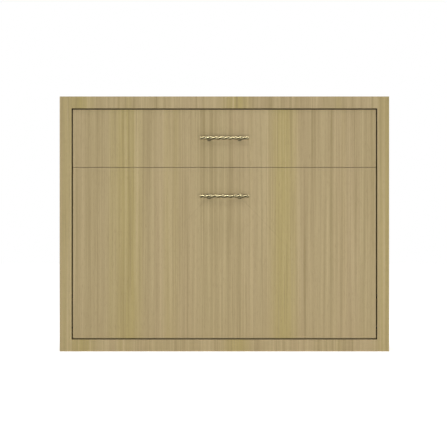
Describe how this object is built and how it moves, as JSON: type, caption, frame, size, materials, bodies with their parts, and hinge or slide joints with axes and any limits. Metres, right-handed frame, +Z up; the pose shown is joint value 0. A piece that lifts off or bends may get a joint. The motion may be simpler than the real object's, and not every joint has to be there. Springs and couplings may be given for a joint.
{
  "type": "murphy wall bed",
  "caption": "Horizontal fold-down wall bed: a framed oak cabinet with a flush two-panel front that swings down on side pivots with gas struts, mattress and folding foot.",
  "frame": {"origin": "on the wall plane (the cabinet's back) at floor level, in the middle of the cabinet's width", "axes": "+X along the wall (the front is seen from -Y, so +X is to its right), +Y into the wall, +Z up; the bed is closed at rest"},
  "size_m": [2.185, 0.484, 1.691],
  "materials": {
    "oak_veneer": "satin pale greyish-tan rift oak veneer, grain vertical",
    "oak_rail": "satin oak veneer on plywood, grain along the rail",
    "pine": "planed bare pine",
    "birch_ply": "lacquered birch plywood",
    "handle_brass": "aged champagne brass",
    "bush_bronze": "plain sintered bronze",
    "black_steel": "satin black powder coat",
    "zinc_steel": "bright zinc plate",
    "chrome_rod": "hard chrome",
    "rubber": "matt black",
    "black_plastic": "matt black",
    "mattress_cover": "quilted knitted ticking",
    "webbing": "woven polyester webbing"
  },
  "bodies": {
    "cabinet": {"side_panel_left": "oak_veneer", "side_panel_right": "oak_veneer", "top_panel": "oak_veneer", "bottom_panel": "oak_veneer", "back_panel": "oak_veneer", "upper_wall_rail": "pine", "lower_wall_rail": "pine", "stile_left": "oak_veneer", "stile_right": "oak_veneer", "top_face_rail": "oak_veneer", "bottom_face_rail": "oak_veneer", "levelling_feet": "rubber", "cabinet_corner_blocks": "pine", "pivot_plate_left": "black_steel", "pivot_plate_right": "black_steel", "pivot_pin_left": "zinc_steel", "pivot_pin_right": "zinc_steel", "pivot_plate_screws": "zinc_steel", "stop_blocks": "pine", "stop_buffers": "rubber", "strut_clips": "zinc_steel"},
    "bed": {"upper_face_panel": "oak_veneer", "lower_face_panel": "oak_veneer", "seam_batten": "pine", "middle_batten": "pine", "slat_ledgers": "pine", "end_rail_left": "oak_rail", "end_rail_right": "oak_rail", "lower_long_rail": "oak_rail", "upper_long_rail": "oak_rail", "frame_bolts": "zinc_steel", "frame_corner_blocks": "pine", "slats": "birch_ply", "pivot_bush_left": "bush_bronze", "pivot_bush_right": "bush_bronze", "strut_lug_left": "black_steel", "strut_lug_right": "black_steel", "upper_handle_bar": "handle_brass", "upper_handle_posts": "handle_brass", "lower_handle_bar": "handle_brass", "lower_handle_posts": "handle_brass", "handle_screws": "zinc_steel", "foot_bushes": "rubber", "mattress": "mattress_cover", "mattress_straps": "webbing", "strap_buckles": "black_plastic"},
    "foot": {"foot_arm_left": "black_steel", "foot_arm_right": "black_steel", "foot_bar": "black_steel", "foot_pins": "zinc_steel", "foot_pin_clips": "zinc_steel"},
    "strut_cylinder_left": {"strut_cylinder_left": "black_steel"},
    "strut_cylinder_right": {"strut_cylinder_right": "black_steel"},
    "strut_rod_left": {"strut_rod_left": "chrome_rod"},
    "strut_rod_right": {"strut_rod_right": "chrome_rod"}
  },
  "joints": [
    {"name": "bed_fold", "type": "hinge", "parent": "cabinet", "child": "bed", "pos_m": [0, -0.365, 0.363], "axis": [1, 0, 0], "range_deg": [0, 90], "stiffness_Nm_per_rad": 250, "springref_deg": -11.46},
    {"name": "foot_fold", "type": "hinge", "parent": "bed", "child": "foot", "pos_m": [0, -0.398, 1.2805], "axis": [1, 0, 0], "range_deg": [0, 90]},
    {"name": "strut_swing_left", "type": "hinge", "parent": "cabinet", "child": "strut_cylinder_left", "pos_m": [0, -0.327, 0.416], "axis": [1, 0, 0], "range_deg": [0, 81.2]},
    {"name": "strut_slide_left", "type": "slide", "parent": "strut_cylinder_left", "child": "strut_rod_left", "axis": [0, -0.143, -0.9897], "range_m": [-0.0859, 0]},
    {"name": "strut_swing_right", "type": "hinge", "parent": "cabinet", "child": "strut_cylinder_right", "pos_m": [0, -0.327, 0.416], "axis": [1, 0, 0], "range_deg": [0, 81.2]},
    {"name": "strut_slide_right", "type": "slide", "parent": "strut_cylinder_right", "child": "strut_rod_right", "axis": [0, -0.143, -0.9897], "range_m": [-0.0859, 0]}
  ],
  "couplings": [
    {"joint": "strut_swing_left", "follows": "bed_fold", "ratio": 0.90106},
    {"joint": "strut_slide_left", "follows": "bed_fold", "m_per_rad": -0.05459},
    {"joint": "strut_swing_right", "follows": "bed_fold", "ratio": 0.90106},
    {"joint": "strut_slide_right", "follows": "bed_fold", "m_per_rad": -0.05459}
  ]
}
